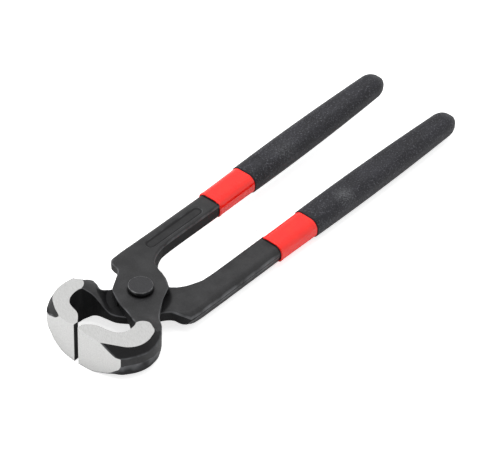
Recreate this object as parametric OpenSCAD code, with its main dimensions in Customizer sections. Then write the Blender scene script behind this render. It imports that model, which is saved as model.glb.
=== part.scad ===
// End cutting nippers, the kind also called carpenter's pincers.
// Two forged levers cross at a lap joint and turn on one rivet.
// The ground jaws meet edge to edge in front of the joint, and each handle
// is dipped twice: a red sleeve first, then a black grip over most of it.
// Lengths are in millimetres. X runs from the jaws to the handle ends,
// Y across the tool and Z up, square to the joint.

/* [Joint] */
// Thickness of one joint plate
plate_t = 4.6; // [4:0.1:5.2]
// Height of the lap plane over the middle of the jaws
lap_z = 0.25; // [-0.5:0.05:0.5]
// Play between the two joint plates
lap_play = 0.1; // [0.05:0.05:0.2]
// Radius of the step that clears the other lever's plate
step_r = 15.8; // [15.2:0.1:16.4]

/* [Rivet] */
// Diameter of the rivet shank
rivet_d = 7; // [5:0.1:8]
// Diameter of the upper head
head_d = 11.7; // [10:0.1:13]
// Height of the upper head
head_h = 2.95; // [1.5:0.05:3.5]
// Diameter of the lower head
foot_d = 11; // [9:0.1:13]
// Height of the lower head
foot_h = 2.2; // [1:0.1:3]
// Running play of the rivet in its holes and under its heads
rivet_play = 0.05; // [0.02:0.01:0.09]

/* [Jaws] */
// Distance from the pivot to the cutting edges
jaw_reach = 42.5; // [41.5:0.1:44]
// Radius of the ground front, seen from above
front_r = 56.7; // [50:0.1:70]
// Half of the gap between the cutting edges
half_gap = 1.1; // [0.8:0.05:1.5]
// Half height of the jaws at the cutting edges
tip_z = 11.3; // [10.5:0.1:12]
// Slope of the ground side facets
facet_tilt = 13.5; // [10:0.5:18]
// Direction in which the side facets fall
facet_turn = 118; // [110:1:130]
// Distance of the centre of the jaw's curve ahead of the pivot
curl_x = 23.9; // [23:0.1:25]
// Distance of the centre of the jaw's curve from the middle
curl_y = 12.6; // [12:0.1:13.5]
// Radius of the jaw's outer band
curl_r = 16.65; // [16:0.05:17.5]
// Half height of the outer band
band_h = 2.3; // [1.5:0.1:3]
// Slope of the bevels above and below the band, from the upright
bevel_tilt = 24.5; // [20:0.5:30]
// Slope of the neck between jaw and joint
neck_tilt = 33; // [28:1:38]
// Height of the neck where it leaves the joint
neck_z = 4.7; // [4:0.1:5.2]

/* [Handles] */
// Distance of the handle's middle line from the tool's
handle_y = 19.5; // [19:0.1:20.5]
// Angle by which each grip spreads outward
handle_splay = 0.73; // [0:0.01:1.5]
// Width of the bare shank
shank_w = 12.6; // [12:0.1:13.4]
// Thickness of the bare shank
shank_t = 8.3; // [7.6:0.1:9]
// Rounding of the shank's inner top edge
inner_r = 1.6; // [0.8:0.1:2]
// Rounding of the shank's outer top edge
outer_r = 3.3; // [2:0.1:4]
// Distance from the pivot to the start of the red sleeve
sleeve_x = 69; // [64:0.5:74]
// Distance from the pivot to the start of the black grip
grip_x = 94.1; // [88:0.1:100]
// Distance from the pivot to the end of the upper grip
upper_end = 200.3; // [194:0.1:207]
// Distance from the pivot to the end of the lower grip
lower_end = 205.4; // [199:0.1:212]
// Full width of a grip at its widest
grip_w = 15.7; // [14.5:0.1:17]
// Thickness of a grip as a share of its width
grip_flat_share = 0.75; // [0.65:0.01:0.85]
// The same share at the grip's end
end_flat_share = 0.9; // [0.75:0.01:1]
// Thickness of the black layer
black_t = 0.8; // [0.5:0.1:1.2]
// Width of the steel tang inside the dips
tang_w = 9; // [7:0.1:10]
// Thickness of the steel tang
tang_t = 6; // [4.5:0.1:7]
// Gap between the steel and the dips and between the dips
dip_gap = 0.05; // [0.02:0.01:0.1]

/* [Panel] */
// Length of the sunk panel on the upper lever
panel_l = 37; // [25:1:39]
// Width of the sunk panel
panel_w = 5.2; // [3:0.1:6]
// Depth of the sunk panel
panel_d = 0.35; // [0.2:0.05:0.6]
// Distance from the pivot to the near end of the panel
panel_x = 24; // [22:0.5:26]

/* [Hidden] */
over = 1;

// Heights of the joint
upper_plate_z = lap_z + lap_play / 2;
lower_plate_z = lap_z - lap_play / 2;
joint_top = upper_plate_z + plate_t;
joint_foot = lower_plate_z - plate_t;
// The upper shank is flush with its plate's top, the lower one with the lap
upper_shank_top = joint_top;
lower_shank_top = lower_plate_z;

// Place of the pivot, so that the origin is under the middle of the box
half_length = (jaw_reach + lower_end) / 2;
pivot_x = jaw_reach - half_length;
pivot_z = tip_z;

// Outline of a joint plate with its waist and neck, handle side up.
// Each place is a share of the jaw's reach, beyond the pivot and across.
waist_share = [
  [0.612, 0.597], [0.160, 0.593], [0.096, 0.529], [0.059, 0.445],
  [0.042, 0.405], [-0.035, 0.329], [-0.193, 0.240], [-0.238, 0.169],
  [-0.308, 0.038], [-0.339, -0.073], [-0.362, -0.181], [-0.405, -0.266],
  [-0.452, -0.318], [-0.473, -0.372], [-0.473, -0.480], [-0.262, -0.548],
  [-0.184, -0.454], [-0.169, -0.412], [0.052, -0.280], [0.245, -0.181],
  [0.358, 0.099], [0.369, 0.151], [0.435, 0.207], [0.473, 0.233],
  [0.546, 0.266], [0.612, 0.300]
];
waist_points = [for (p = waist_share) p * jaw_reach];

// Outline of the thick root that joins the waist to the shank, up to where
// the shank's own section takes over
root_share = [
  [0.160, 0.593], [0.149, 0.400], [0.282, 0.235], [0.388, 0.188],
  [0.435, 0.207], [0.473, 0.233], [0.546, 0.266], [0.612, 0.295]
];
root_x = 0.7 * jaw_reach;
root_points = concat(
  [[root_x, handle_y + shank_w / 2]],
  [for (p = root_share) p * jaw_reach],
  [[root_x, handle_y - shank_w / 2]]
);

// Inner outline of the jaw, from the cutting edge round the mouth to the neck
mouth_share = [
  [-0.925, 0.040], [-0.885, 0.080], [-0.845, 0.118],
  [-0.816, 0.167], [-0.800, 0.224], [-0.776, 0.280], [-0.751, 0.332],
  [-0.708, 0.371], [-0.656, 0.400], [-0.598, 0.413], [-0.527, 0.411],
  [-0.473, 0.372], [-0.452, 0.318], [-0.424, 0.261], [-0.405, 0.266],
  [-0.345, 0.160], [-0.250, 0.220], [-0.169, 0.412], [-0.184, 0.454],
  [-0.150, 0.700]
];
tip_point = [-jaw_reach, half_gap];
jaw_points = concat(
  [[-jaw_reach - over, half_gap], tip_point],
  [for (p = mouth_share) p * jaw_reach],
  [[-curl_x, curl_y + curl_r + over], [-jaw_reach - over, curl_y + curl_r + over]]
);

// Turn of the straight run that leads the curl into the cutting edge
run_turn = 140.7;
run_length = jaw_reach / 2;
bevel_rise = tip_z - band_h;
bevel_in = bevel_rise * tan(bevel_tilt);
curl_profile = [
  [0, -tip_z], [curl_r - bevel_in, -tip_z], [curl_r, -band_h],
  [curl_r, band_h], [curl_r - bevel_in, tip_z], [0, tip_z]
];
// The neck plane starts along this line, given as its normal's turn and place
neck_turn = 133.3;
neck_from = 20.1;

// Section of the bare shank, across and down from the top, outer side first
half_w = shank_w / 2;
under_in = shank_t / 8;
// The bare shank stops just short of the sleeve, whose mouth is splayed too
shank_end = sleeve_x - half_w * sin(handle_splay);
arc_steps = 6;
function arc_points(cx, cy, r, from, to) = [
  for (i = [0:arc_steps]) let (a = from + (to - from) * i / arc_steps)
  [cx + r * cos(a), cy + r * sin(a)]
];
shank_section = concat(
  arc_points(half_w - outer_r, -outer_r, outer_r, 0, 90),
  arc_points(inner_r - half_w, -inner_r, inner_r, 90, 180),
  [[-half_w, -shank_t * 2 / 3]],
  [[under_in - half_w, under_in - shank_t], [2 * under_in - half_w, -shank_t]],
  [[half_w - 2 * under_in, -shank_t], [half_w - under_in, under_in - shank_t]]
);

// Grip widths as shares of the widest, at shares of the way along the sleeve
grip_along_share = [0, 0.09, 0.19, 0.29, 0.42, 0.55, 0.69, 0.82, 0.92, 1];
grip_width_share = [0.952, 0.961, 0.977, 0.992, 1, 0.985, 0.952, 0.895, 0.83, 0.78];
corner_share = 0.85;
// Length of the rounded end as a share of half the width there
end_share = 1.4;
lip_share = 0.12;
corner_steps = 5;
end_steps = 7;
// Turn of the last ring of the rounded end, just short of its pole
end_turn = 80;

function half_width(share) = grip_w / 2 * lookup(share, [
  for (i = [0:len(grip_along_share) - 1]) [grip_along_share[i], grip_width_share[i]]
]);
// Thickness over width, the same until three quarters of the way
function flat_at(share) = lookup(share, [
  [0, grip_flat_share], [0.75, grip_flat_share], [1, end_flat_share]
]);
function span(finish) = finish - sleeve_x;
// One ring of a dip: corner centres joined with arcs, at x along the handle
function ring(x, a, b) =
  let (r = corner_share * b)
  [for (q = [0:3], i = [0:corner_steps])
    let (t = 90 * q + 90 * i / corner_steps)
    let (sy = (q == 0 || q == 3) ? 1 : -1)
    let (sz = (q < 2) ? 1 : -1)
    [x, sy * (a - r) + r * cos(t), sz * (b - r) + r * sin(t)]
  ];
// A ring that follows the grip's width at x, drawn in by inset all round
function body_ring(x, finish, inset) =
  let (share = (x - sleeve_x) / span(finish))
  let (a = half_width(share))
  ring(x, a - inset, a * flat_at(share) - inset);
// Rings of the rounded end, from its start to the last small face
function end_rings(finish, inset) =
  let (from = end_start(finish, inset))
  let (e = finish - inset - from)
  let (share = (from - sleeve_x) / span(finish))
  let (a = half_width(share) - inset)
  let (b = half_width(share) * flat_at(share) - inset)
  [for (i = [0:end_steps])
    let (t = end_turn * i / end_steps)
    ring(from + e * sin(t) / sin(end_turn), a * cos(t), b * cos(t))
  ];
function end_start(finish, inset) = finish - inset - end_share * half_width(1);
// Places of the rings between two limits, at the shares named above
function between(from, to, finish) = [
  for (s = grip_along_share)
  let (x = sleeve_x + s * span(finish))
  if (x > from + dip_gap && x < to - dip_gap) x
];

module loft(rings) {
  n = len(rings[0]);
  m = len(rings);
  points = [for (r = rings) each r];
  sides = [
    for (k = [0:m - 2], i = [0:n - 1])
    let (j = (i + 1) % n)
    each [
      [k * n + i, (k + 1) * n + i, (k + 1) * n + j],
      [k * n + i, (k + 1) * n + j, k * n + j]
    ]
  ];
  first = [for (i = [1:n - 2]) [0, i, i + 1]];
  last = [for (i = [1:n - 2]) [(m - 1) * n, (m - 1) * n + i + 1, (m - 1) * n + i]];
  polyhedron(points = points, faces = concat(first, last, sides));
}

// Solid of a dip from one place to the end, drawn in by inset, with a soft lip
module dip(from, finish, inset, lip) {
  stop = end_start(finish, inset);
  loft(concat(
    [body_ring(from, finish, inset + lip), body_ring(from + lip, finish, inset)],
    [for (x = between(from + lip, stop, finish)) body_ring(x, finish, inset)],
    end_rings(finish, inset)
  ));
}

// Places what is drawn along X onto a handle's middle line
module on_handle(middle) {
  translate([sleeve_x, handle_y, middle])
  rotate([0, 0, handle_splay])
  translate([-sleeve_x, 0, 0])
  children();
}

module tang_solid(finish, gap) {
  stop = end_start(finish, black_t);
  translate([sleeve_x - over, -tang_w / 2 - gap, -tang_t / 2 - gap])
  cube([stop - sleeve_x + over + gap, tang_w + 2 * gap, tang_t + 2 * gap]);
}

// A block above the plane through a point, tilted toward a turn
module above(point, tilt, turn) {
  size = 4 * jaw_reach;
  translate(point)
  rotate([0, 0, turn])
  rotate([0, tilt, 0])
  translate([-size / 2, -size / 2, 0])
  cube([size, size, size]);
}

// One side of the jaw: the curl and its run, cut by facet and neck planes
module jaw_blank() {
  translate([-curl_x, curl_y, 0]) {
    rotate_extrude($fn = 96) polygon(curl_profile);
    rotate([0, 0, run_turn])
    rotate([90, 0, 0])
    mirror([0, 0, 1])
    linear_extrude(height = run_length)
    polygon(curl_profile);
  }
}

// The neck plane works only behind the middle of the curl
module neck_cut() {
  intersection() {
    above(
      [cos(neck_turn) * neck_from, sin(neck_turn) * neck_from, neck_z],
      neck_tilt, neck_turn + 180
    );
    translate([-curl_x, 0, -2 * tip_z])
    cube([2 * curl_x, 2 * jaw_reach, 4 * tip_z]);
  }
}

module facet_cut() {
  above([-jaw_reach, half_gap, tip_z], facet_tilt, facet_turn);
}

// The jaw at the positive side, own plate above the lap or below it
module jaw(own) {
  difference() {
    intersection() {
      jaw_blank();
      translate([0, 0, -2 * tip_z])
      linear_extrude(height = 4 * tip_z)
      polygon(jaw_points);
      translate([front_r - jaw_reach, 0, -2 * tip_z])
      cylinder(r = front_r, h = 4 * tip_z, $fn = 180);
    }
    facet_cut();
    mirror([0, 0, 1]) facet_cut();
    neck_cut();
    mirror([0, 0, 1]) neck_cut();
    // step beside the other lever's plate
    translate([0, 0, own > 0 ? lower_plate_z + lap_play - 2 * tip_z : lower_plate_z])
    cylinder(r = step_r, h = 2 * tip_z, $fn = 96);
  }
}

// Plate, waist and neck of a lever, handle side at positive Y
module plate(own) {
  translate([0, 0, own > 0 ? upper_plate_z : joint_foot])
  linear_extrude(height = plate_t)
  polygon(waist_points);
}

// Thick root and bare shank, with the top at the given height
module shank(top, own) {
  difference() {
    intersection() {
      union() {
        translate([0, 0, top - shank_t])
        linear_extrude(height = shank_t)
        polygon(root_points);
        translate([root_x - over, handle_y, top])
        rotate([90, 0, 90])
        linear_extrude(height = shank_end - root_x + over)
        polygon(shank_section);
      }
      // the outer side keeps its rounding all the way to the shoulder
      translate([0, handle_y - jaw_reach, top])
      rotate([90, 0, 90])
      linear_extrude(height = shank_end)
      polygon(concat(
        [for (p = arc_points(half_w - outer_r, -outer_r, outer_r, 0, 90)) [p[0] + jaw_reach, p[1]]],
        [[0, 0], [0, -shank_t]],
        [[half_w - 2 * under_in + jaw_reach, -shank_t]],
        [[half_w - under_in + jaw_reach, under_in - shank_t]]
      ));
    }
    // step beside the other lever's plate
    if (own > 0) {
      translate([0, 0, upper_plate_z - 2 * shank_t])
      cylinder(r = step_r, h = 2 * shank_t, $fn = 96);
    }
  }
}

// A whole steel lever, handle side at positive Y
module lever(own, top, finish) {
  difference() {
    union() {
      mirror([0, 1, 0]) jaw(own);
      plate(own);
      shank(top, own);
      on_handle(top - shank_t / 2) tang_solid(finish, 0);
    }
    // rivet hole
    translate([0, 0, joint_foot - shank_t])
    cylinder(d = rivet_d + 2 * rivet_play, h = plate_t + 4 * shank_t, $fn = 72);
    // room for the rivet's heads where the root reaches them
    translate([0, 0, joint_foot - 2 * shank_t])
    cylinder(d = foot_d + 2 * rivet_play, h = 2 * shank_t, $fn = 72);
  }
}

module panel_cut() {
  r = panel_w / 2;
  translate([panel_x, handle_y - r / 2, joint_top - panel_d]) {
    translate([r, -r, 0]) cube([panel_l - panel_w, panel_w, over]);
    translate([r, 0, 0]) cylinder(r = r, h = over, $fn = 48);
    translate([panel_l - r, 0, 0]) cylinder(r = r, h = over, $fn = 48);
  }
}

module in_frame() {
  translate([pivot_x, 0, pivot_z]) children();
}

module upper_lever() {
  color("#46474a")
  in_frame()
  difference() {
    lever(1, upper_shank_top, upper_end);
    panel_cut();
  }
}

module lower_lever() {
  color("#46474a")
  in_frame()
  mirror([0, 1, 0])
  lever(-1, lower_shank_top, lower_end);
}

module pivot_rivet() {
  color("#3e3f42")
  in_frame() {
    translate([0, 0, joint_foot - rivet_play - foot_h])
    cylinder(d = foot_d, h = foot_h, $fn = 72);
    translate([0, 0, joint_foot - rivet_play - foot_h])
    cylinder(d = rivet_d, h = joint_top - joint_foot + 2 * rivet_play + foot_h + head_h, $fn = 72);
    translate([0, 0, joint_top + rivet_play])
    cylinder(d = head_d, h = head_h, $fn = 72);
  }
}

// Red sleeve: full size where it shows, drawn in where the black covers it
module red_sleeve(top, finish) {
  lip = lip_share * black_t;
  on_handle(top - shank_t / 2)
  difference() {
    union() {
      loft([
        body_ring(sleeve_x + dip_gap, finish, 3 * lip),
        body_ring(sleeve_x + dip_gap + 2 * lip, finish, lip),
        for (x = [sleeve_x + black_t, sleeve_x + (grip_x - sleeve_x) / 3, sleeve_x + (grip_x - sleeve_x) * 2 / 3])
          body_ring(x, finish, lip),
        body_ring(grip_x - dip_gap, finish, lip)
      ]);
      dip(grip_x - black_t, finish, black_t, 0.01 * black_t);
    }
    tang_solid(finish, dip_gap);
  }
}

module black_grip(top, finish) {
  lip = lip_share * black_t;
  on_handle(top - shank_t / 2)
  difference() {
    dip(grip_x, finish, 0, 2 * lip);
    dip(grip_x - black_t, finish, black_t - dip_gap, 0.01 * black_t);
  }
}

module upper_red_sleeve() {
  color("#f5402f") in_frame() red_sleeve(upper_shank_top, upper_end);
}

module lower_red_sleeve() {
  color("#f5402f") in_frame() mirror([0, 1, 0]) red_sleeve(lower_shank_top, lower_end);
}

module upper_black_grip() {
  color("#2e2f36") in_frame() black_grip(upper_shank_top, upper_end);
}

module lower_black_grip() {
  color("#2e2f36") in_frame() mirror([0, 1, 0]) black_grip(lower_shank_top, lower_end);
}

upper_lever();
lower_lever();
pivot_rivet();
upper_red_sleeve();
lower_red_sleeve();
upper_black_grip();
lower_black_grip();
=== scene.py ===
"""Looks of a pair of end cutting nippers, the kind called carpenter's pincers.

Two forged levers with a black oxide finish cross at a lap joint and turn on
one rivet. Their jaws are ground bright, and each handle was dipped twice: a
glossy red vinyl first, then a rough foamed black one over most of it.
Lengths are in millimetres, measured from the pivot at the middle height of
the jaws, and become metres in the CAD model's frame as each mesh is made.
"""

import logging
import math
from dataclasses import dataclass
from enum import Enum

import bmesh
import bpy
import numpy as np
from mathutils import Matrix, Vector


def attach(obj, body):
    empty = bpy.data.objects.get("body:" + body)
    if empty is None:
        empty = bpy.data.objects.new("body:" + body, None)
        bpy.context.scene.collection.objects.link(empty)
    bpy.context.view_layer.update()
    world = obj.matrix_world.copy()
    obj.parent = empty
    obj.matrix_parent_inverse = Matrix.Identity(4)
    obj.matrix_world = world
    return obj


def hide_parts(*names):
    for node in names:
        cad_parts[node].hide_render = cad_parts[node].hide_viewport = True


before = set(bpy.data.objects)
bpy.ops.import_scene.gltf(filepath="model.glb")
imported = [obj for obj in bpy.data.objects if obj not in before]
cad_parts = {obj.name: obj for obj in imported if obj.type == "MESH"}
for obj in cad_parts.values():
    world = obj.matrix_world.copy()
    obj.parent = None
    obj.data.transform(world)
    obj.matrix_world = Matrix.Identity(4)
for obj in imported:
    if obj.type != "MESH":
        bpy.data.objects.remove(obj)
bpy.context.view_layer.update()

LOG = logging.getLogger("nippers")
MM = 0.001
# the pivot in the CAD model's frame, in millimetres
PIVOT = (-81.45, 0.0, 11.3)
# doubles nearer than this, in metres, are merged
MERGE = 2e-7
# a length in millimetres that keeps a division by a width off zero
TINY = 1e-4
# the part of a noise node's factor that colours use, and the part that roughness uses
TONE_LOW, TONE_HIGH = 0.35, 0.65
ROUGH_LOW, ROUGH_HIGH = 0.30, 0.70
Row = tuple[float, float, float, float]
Table = tuple[tuple[float, float], ...]


class Side(Enum):
    """Which of the two mating halves a piece belongs to."""

    UPPER = 1
    LOWER = -1

    @property
    def body(self) -> str:
        """Name of the CAD body that carries this half."""
        return "upper_half" if self is Side.UPPER else "lower_half"

    @property
    def prefix(self) -> str:
        """First word of this half's piece and node names."""
        return "upper" if self is Side.UPPER else "lower"


# end of each handle, and height of its middle at the sleeve's mouth
HANDLES = {Side.UPPER: (200.3, 0.75), Side.LOWER: (205.4, -3.95)}


# Numbers and curves


def to_linear(code: str) -> tuple[float, float, float, float]:
    """Turns an sRGB hex colour into linear RGBA.

    A channel c is c / 12.92 up to 0.04045, else ((c + 0.055) / 1.055) ^ 2.4.

    Args:
        code: Six hex digits, with or without a leading hash.

    Returns:
        Red, green, blue and an alpha of one.
    """
    digits = code.lstrip("#")
    srgb = np.array([int(digits[i : i + 2], 16) for i in (0, 2, 4)]) / 255.0
    linear = np.where(srgb <= 0.04045, srgb / 12.92, ((srgb + 0.055) / 1.055) ** 2.4)
    return (float(linear[0]), float(linear[1]), float(linear[2]), 1.0)


def soft_min(a: np.ndarray, b: np.ndarray, blend: float) -> np.ndarray:
    """Lower of two heights, with a fillet where they cross.

    With h = max(blend - |a - b|, 0) / blend it is min(a, b) - h * h * blend / 4.

    Args:
        a: First heights.
        b: Second heights.
        blend: Height difference inside which the two are blended.

    Returns:
        The blended lower heights.
    """
    h = np.maximum(blend - np.abs(a - b), 0.0) / blend
    return np.minimum(a, b) - h * h * blend / 4.0


def soft_max(a: np.ndarray, b: np.ndarray, blend: float) -> np.ndarray:
    """Higher of two heights, with a fillet where they cross (see soft_min)."""
    return -soft_min(-a, -b, blend)


def round_drop(d: np.ndarray, radius: np.ndarray) -> np.ndarray:
    """How far a rounded edge has fallen at distance d from the wall.

    A quarter circle: r - sqrt(r * r - (r - d)^2) inside r, nothing beyond.

    Args:
        d: Distances from the edge.
        radius: Rounding radius, at most the distance that may be rounded.

    Returns:
        The drop below the flat surface.
    """
    r = np.maximum(radius, TINY)
    inside = np.clip(r - d, 0.0, r)
    return r - np.sqrt(np.maximum(r * r - inside * inside, 0.0))


def through(keys: np.ndarray, knots: np.ndarray, at: np.ndarray, corners: set[int]) -> np.ndarray:
    """Smooth curve through points, with sharp turns where asked.

    Each span is a cubic with the end slopes of a Catmull-Rom curve on uneven
    knots; at a corner each span takes the plain slope of its own chord.

    Args:
        keys: Points, one per knot.
        knots: Rising parameter of each point.
        at: Parameters to evaluate.
        corners: Indices of the points where the curve turns sharply.

    Returns:
        One point per parameter.
    """
    gap = np.diff(knots)[:, None]
    chord = np.diff(keys, axis=0) / gap
    inner = (chord[:-1] * gap[1:] + chord[1:] * gap[:-1]) / (gap[1:] + gap[:-1])
    leave = np.vstack([chord[:1], inner, chord[-1:]])
    arrive = leave.copy()
    turn = np.array(sorted(c for c in corners if 0 < c < len(keys) - 1), int)
    leave[turn] = chord[turn]
    arrive[turn] = chord[turn - 1]
    i = np.clip(np.searchsorted(knots, at, side="right") - 1, 0, len(gap) - 1)
    h = gap[i]
    u = ((at - knots[i])[:, None]) / h
    return (
        keys[i] * (2 * u**3 - 3 * u**2 + 1)
        + leave[i] * h * (u**3 - 2 * u**2 + u)
        + keys[i + 1] * (3 * u**2 - 2 * u**3)
        + arrive[i + 1] * h * (u**3 - u**2)
    )


def eased(count: int) -> np.ndarray:
    """Shares from 0 to 1 that crowd at both ends: (1 - cos(pi * i / n)) / 2."""
    return (1.0 - np.cos(np.pi * np.arange(count + 1) / count)) / 2.0


def lookup(table: Table, at: np.ndarray) -> np.ndarray:
    """Values of a table of (place, value) pairs, straight in between and level beyond."""
    rows = np.array(table, float)
    return np.interp(at, rows[:, 0], rows[:, 1])


# Meshes


def grid_faces(rows: int, columns: int) -> np.ndarray:
    """Quads of a grid whose columns close on themselves.

    Args:
        rows: Number of rings.
        columns: Points in each ring.

    Returns:
        Vertex numbers, four per face, ring by ring.
    """
    i, j = np.meshgrid(np.arange(rows - 1), np.arange(columns), indexing="ij")
    k = (j + 1) % columns
    quads = [i * columns + j, (i + 1) * columns + j, (i + 1) * columns + k, i * columns + k]
    return np.stack(quads, axis=-1).reshape(-1, 4)


def build_mesh(
    name: str,
    rings: np.ndarray,
    paint: dict[str, np.ndarray] | None = None,
    sharp_deg: float = 40.0,
) -> bpy.types.Object:
    """Makes a closed piece from rings of points in pivot millimetres.

    Rings are joined by quads, each open end is closed by a fan round its
    middle, doubles are merged, and the faces are turned outwards by the sign
    of the enclosed volume, the sum of a . (b x c) over the triangles.

    Args:
        name: Name of the piece.
        rings: Array of ring, point and coordinate.
        paint: Values per quad corner, by attribute name.
        sharp_deg: Edges that turn by more than this stay sharp.

    Returns:
        The new object, linked to the scene.
    """
    count, ring, _ = rings.shape
    points = rings.reshape(-1, 3)
    ends = np.stack([rings[0].mean(axis=0), rings[-1].mean(axis=0)])
    points = (np.vstack([points, ends]) + np.array(PIVOT)) * MM
    quads = grid_faces(count, ring)
    j = np.arange(ring)
    k = (j + 1) % ring
    first = np.stack([np.full(ring, count * ring), j, k], axis=-1)
    base = (count - 1) * ring
    last = np.stack([np.full(ring, count * ring + 1), base + k, base + j], axis=-1)
    a, b, c, d = (points[quads[:, n]] for n in range(4))
    volume = np.einsum("ij,ij->", a, np.cross(b, c)) + np.einsum("ij,ij->", a, np.cross(c, d))
    flip = volume < 0
    if flip:
        quads, first, last = quads[:, ::-1], first[:, ::-1], last[:, ::-1]
    mesh = bpy.data.meshes.new(name)
    mesh.from_pydata(points.tolist(), [], quads.tolist() + first.tolist() + last.tolist())
    for key, values in (paint or {}).items():
        corner = values[:, ::-1] if flip else values
        caps = np.repeat(np.array([corner[0].min(), corner[-1].min()]), 3 * ring)
        layer = mesh.attributes.new(key, "FLOAT", "CORNER")
        layer.data.foreach_set("value", np.concatenate([corner.ravel(), caps]).astype(np.float32))
    work = bmesh.new()
    work.from_mesh(mesh)
    bmesh.ops.remove_doubles(work, verts=work.verts, dist=MERGE)
    work.to_mesh(mesh)
    work.free()
    mesh.polygons.foreach_set("use_smooth", np.ones(len(mesh.polygons), bool))
    mesh.set_sharp_from_angle(angle=math.radians(sharp_deg))
    mesh.update()
    piece = bpy.data.objects.new(name, mesh)
    bpy.context.scene.collection.objects.link(piece)
    LOG.info("%s: %d faces", name, len(mesh.polygons))
    return piece


def settle(piece: bpy.types.Object, side: Side, node: str, finish: bpy.types.Material) -> None:
    """Dresses a piece and ties it to its CAD node, body and material slot.

    Args:
        piece: The finished piece.
        side: The half that carries it.
        node: CAD node that it replaces.
        finish: Its material.
    """
    piece.data.materials.append(finish)
    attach(piece, side.body)
    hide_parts(node)
    LOG.info("%s replaces %s on %s", piece.name, node, side.body)


# Finishes


def add_node(
    tree: bpy.types.NodeTree,
    kind: str,
    settings: dict[str, object] | None = None,
    **links: bpy.types.NodeSocket | float | tuple,
) -> bpy.types.Node:
    """Adds a shader node, sets its properties and values, and links it.

    Args:
        tree: Node tree to add to.
        kind: Node type.
        settings: Node properties by name.
        **links: Inputs by name, underscores for spaces, or i0, i1 and so on by
            place. A socket is linked and anything else is a constant.

    Returns:
        The new node.
    """
    node = tree.nodes.new(kind)
    for key, value in (settings or {}).items():
        setattr(node, key, value)
    for key, value in links.items():
        place = key[1:]
        numbered = key[0] == "i" and place.isdigit()
        socket = node.inputs[int(place) if numbered else key.replace("_", " ")]
        if isinstance(value, bpy.types.NodeSocket):
            tree.links.new(value, socket)
        else:
            socket.default_value = value
    return node


@dataclass(frozen=True)
class Finish:
    """What every finish shares: a name and the start of its node tree."""

    name: str

    def start(self) -> tuple[bpy.types.Material, bpy.types.NodeTree, bpy.types.Node, bpy.types.NodeSocket]:
        """Makes an empty material with its shader and object coordinates.

        Returns:
            The material, its tree, its shader and the coordinates' socket.
        """
        material = bpy.data.materials.new(self.name)
        material.use_nodes = True
        tree = material.node_tree
        shader = tree.nodes["Principled BSDF"]
        place = add_node(tree, "ShaderNodeTexCoord").outputs["Object"]
        return material, tree, shader, place

    @staticmethod
    def cells(size_mm: float) -> float:
        """Noise scale whose features are about size_mm across, on metres."""
        return 1.0 / (size_mm * MM)


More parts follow.
